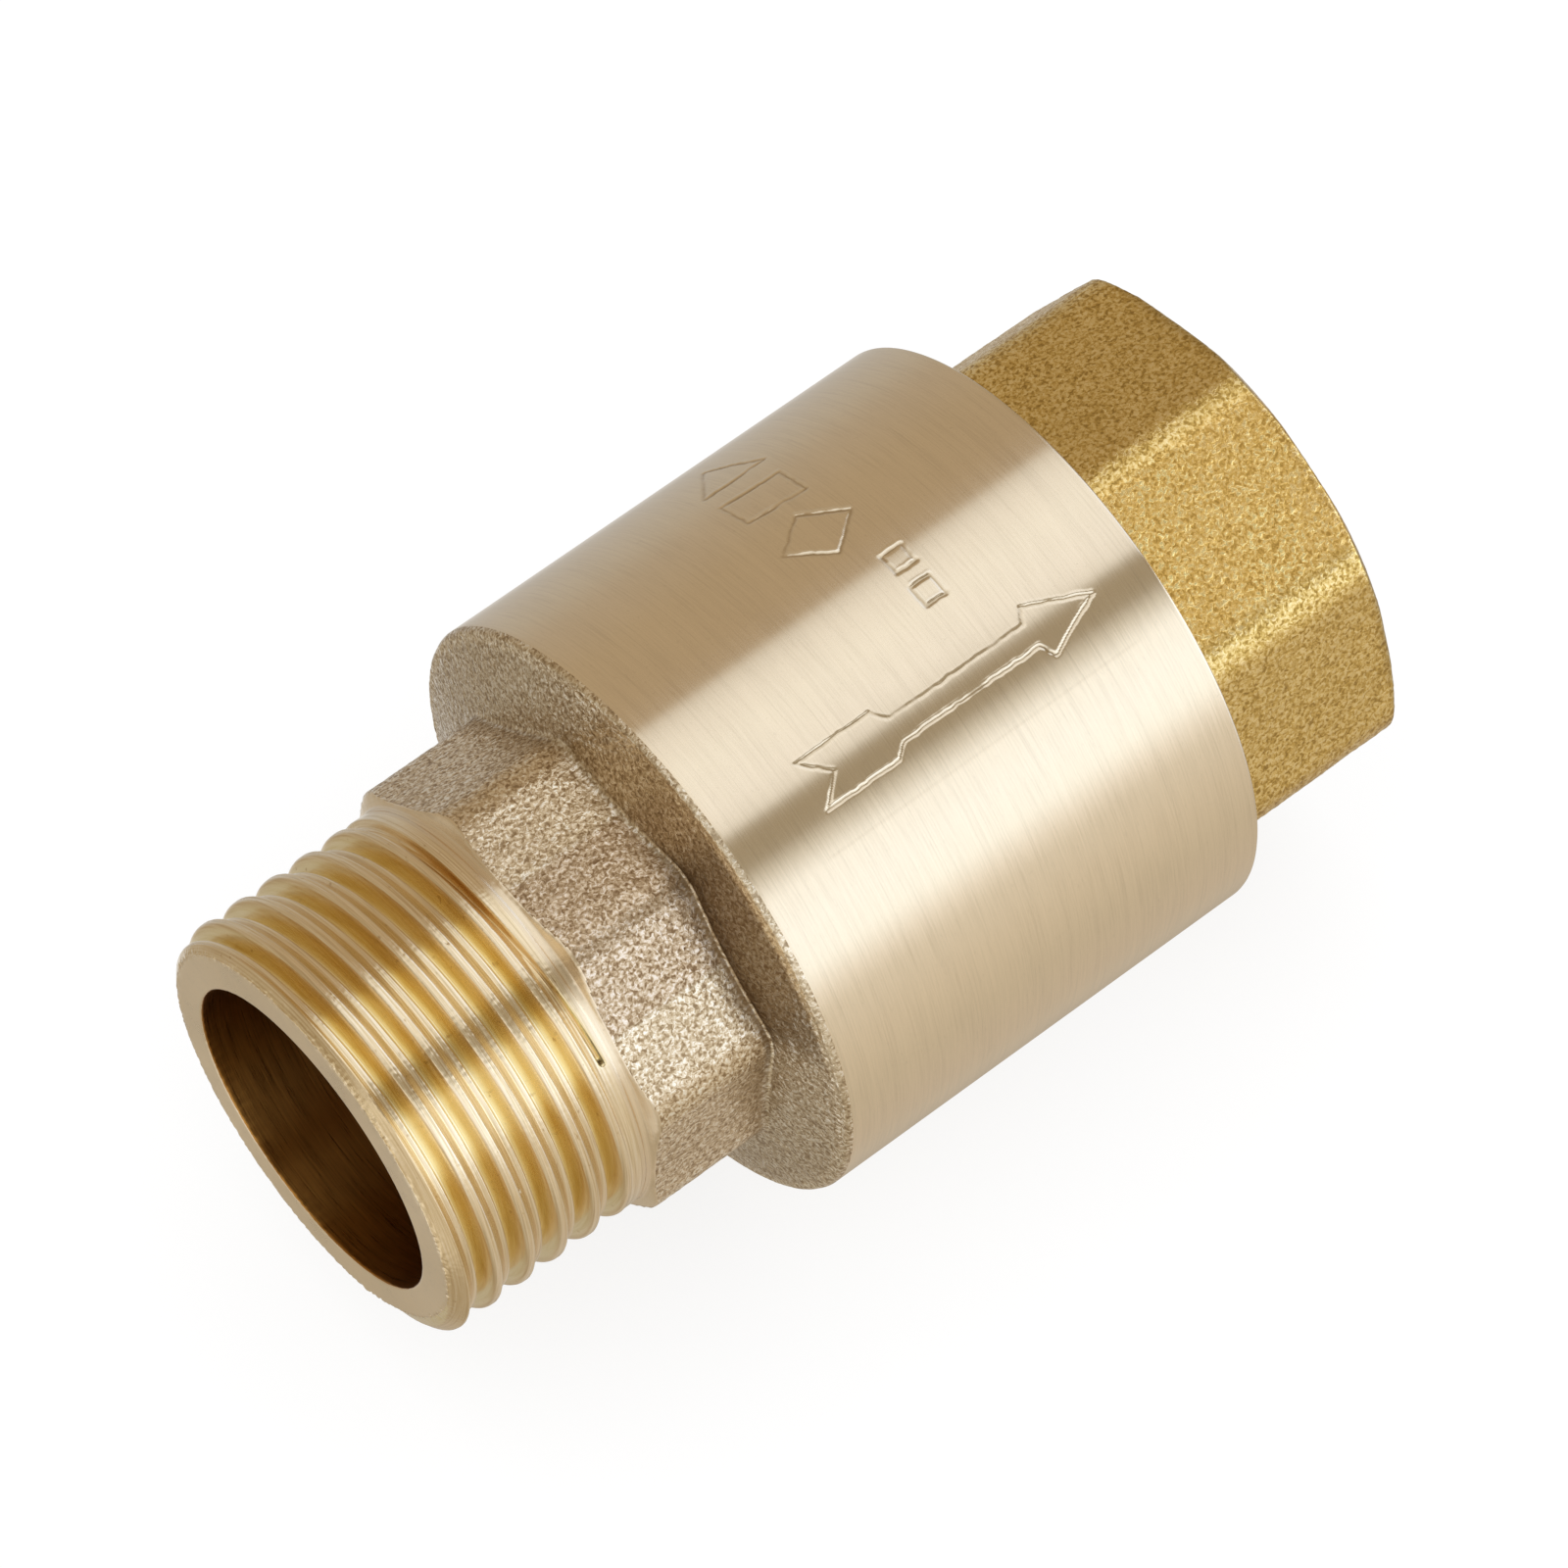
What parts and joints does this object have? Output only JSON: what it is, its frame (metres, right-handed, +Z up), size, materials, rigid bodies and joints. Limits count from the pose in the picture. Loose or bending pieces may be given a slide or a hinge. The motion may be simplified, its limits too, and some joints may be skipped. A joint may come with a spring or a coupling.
{
  "type": "check valve",
  "caption": "In-line spring check valve with a threaded male inlet, an octagonal neck, a round chamber and an octagonal female outlet that screws in; a sprung poppet slides inside.",
  "frame": {"origin": "on the flow axis, half way along the valve's overall length", "axes": "+X along the flow axis from the male inlet to the female outlet, +Z up with the valve lying on its round chamber"},
  "size_m": [0.0522, 0.03, 0.03],
  "materials": {
    "cast_brass": "sand-blasted casting with machined threads and a fine-turned chamber",
    "yellow_brass": "sand-blasted casting, yellower alloy",
    "turned_brass": "turned",
    "stainless_steel": "bright drawn",
    "black_rubber": "matt",
    "white_acetal": "moulded, satin",
    "white_ptfe": "waxy, matt"
  },
  "bodies": {
    "valve_body": {"inlet_body": "cast_brass", "outlet_cap": "yellow_brass", "cap_o_ring": "black_rubber", "return_spring": "stainless_steel", "spring_seat_washer": "stainless_steel", "outlet_guide": "white_acetal", "guide_bush": "white_ptfe", "guide_circlip": "stainless_steel"},
    "poppet": {"poppet_disc": "turned_brass", "seal_ring": "black_rubber", "seal_retainer": "stainless_steel", "poppet_stem": "stainless_steel", "lock_washer": "stainless_steel", "stem_nut": "stainless_steel"}
  },
  "joints": [
    {"name": "poppet_slide", "type": "slide", "parent": "valve_body", "child": "poppet", "axis": [1, 0, 0], "range_m": [0, 0.0045], "stiffness_N_per_m": 70, "springref_m": -0.0045, "deforming": ["return_spring"]}
  ]
}
